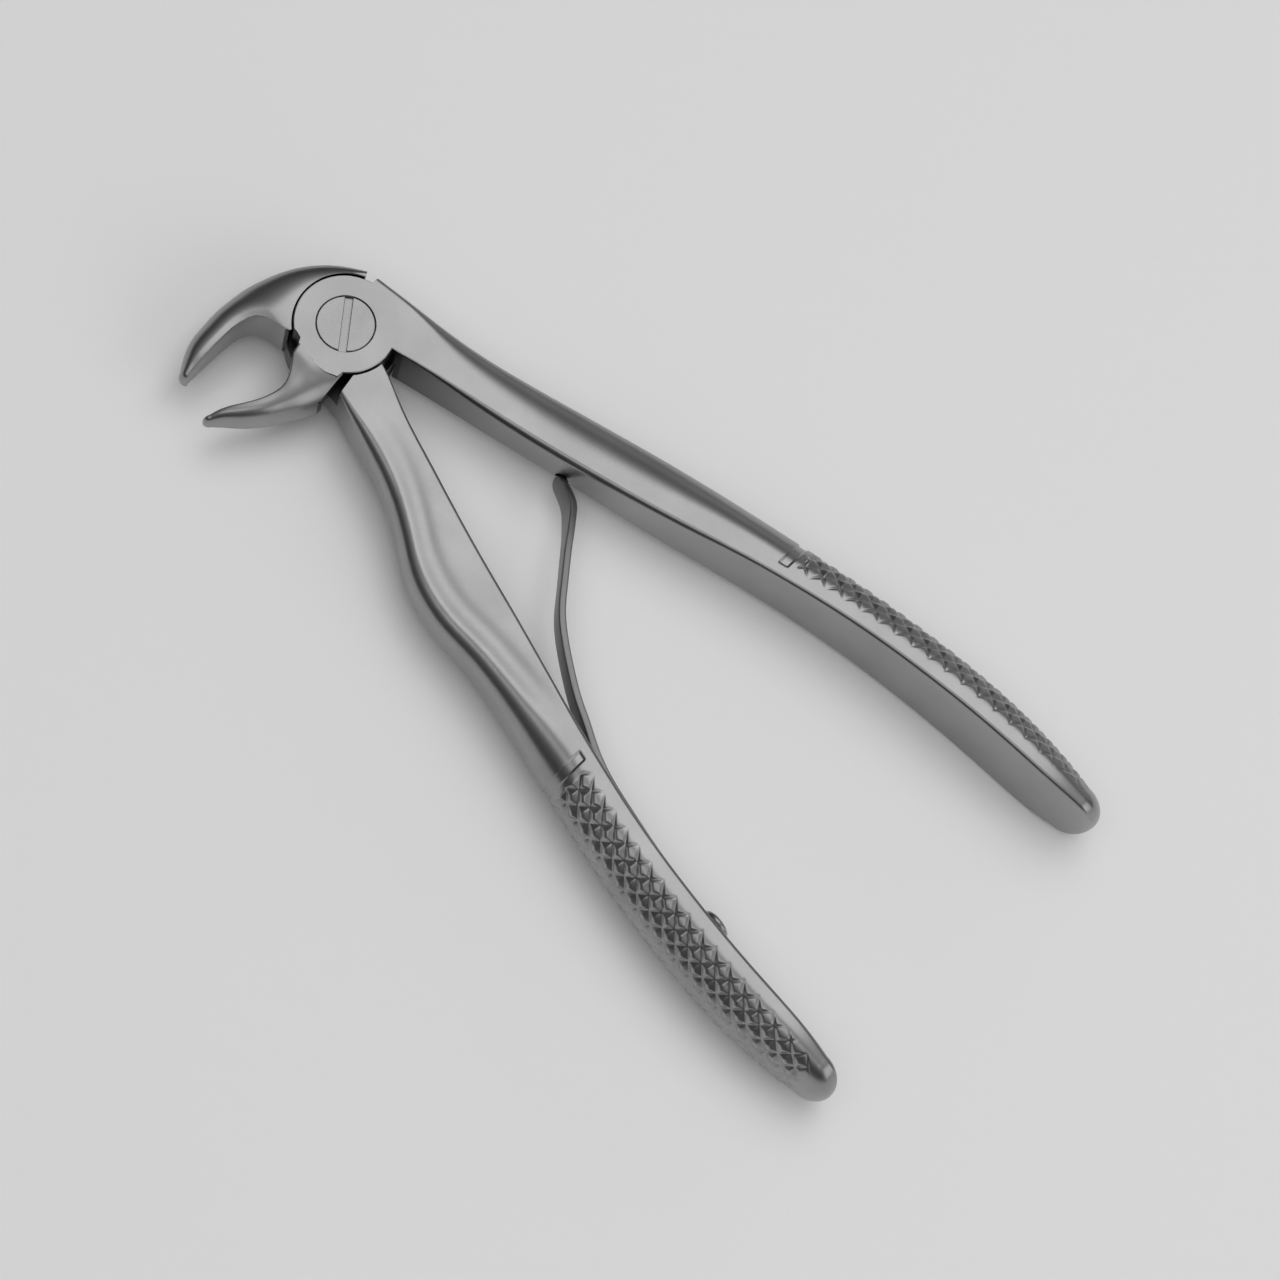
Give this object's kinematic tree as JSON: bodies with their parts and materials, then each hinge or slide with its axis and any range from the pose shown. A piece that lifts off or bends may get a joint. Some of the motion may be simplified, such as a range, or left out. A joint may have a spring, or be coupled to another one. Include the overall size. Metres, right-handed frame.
{
  "type": "extraction forceps",
  "caption": "Small right-angle-beaked dental extraction forceps with a lap joint, a slotted pivot screw, knurled grips and a leaf return spring between the handles.",
  "frame": {"origin": "on the pivot axis, in the back face of the joint, which is the flush tail end of the pivot screw", "axes": "+X along the middle line between the two handles, towards their ends; +Z along the pivot axis, towards the slotted head of the pivot screw; the beaks point to -Y"},
  "size_m": [0.1294, 0.059, 0.0142],
  "materials": {
    "forged_steel": "satin",
    "screw_steel": "satin",
    "spring_steel": "satin"
  },
  "bodies": {
    "front_lever": {"lever_front_disc": "forged_steel"},
    "back_lever": {"lever_back_disc": "forged_steel", "pivot_screw": "screw_steel", "return_spring": "spring_steel", "spring_fixing_screw": "screw_steel"}
  },
  "joints": [
    {"name": "pivot", "type": "hinge", "parent": "front_lever", "child": "back_lever", "pos_m": [0, 0, 0.0046], "axis": [0, 0, 1], "range_deg": [-10, 14], "stiffness_Nm_per_rad": 1.5, "deforming": ["return_spring"]}
  ]
}
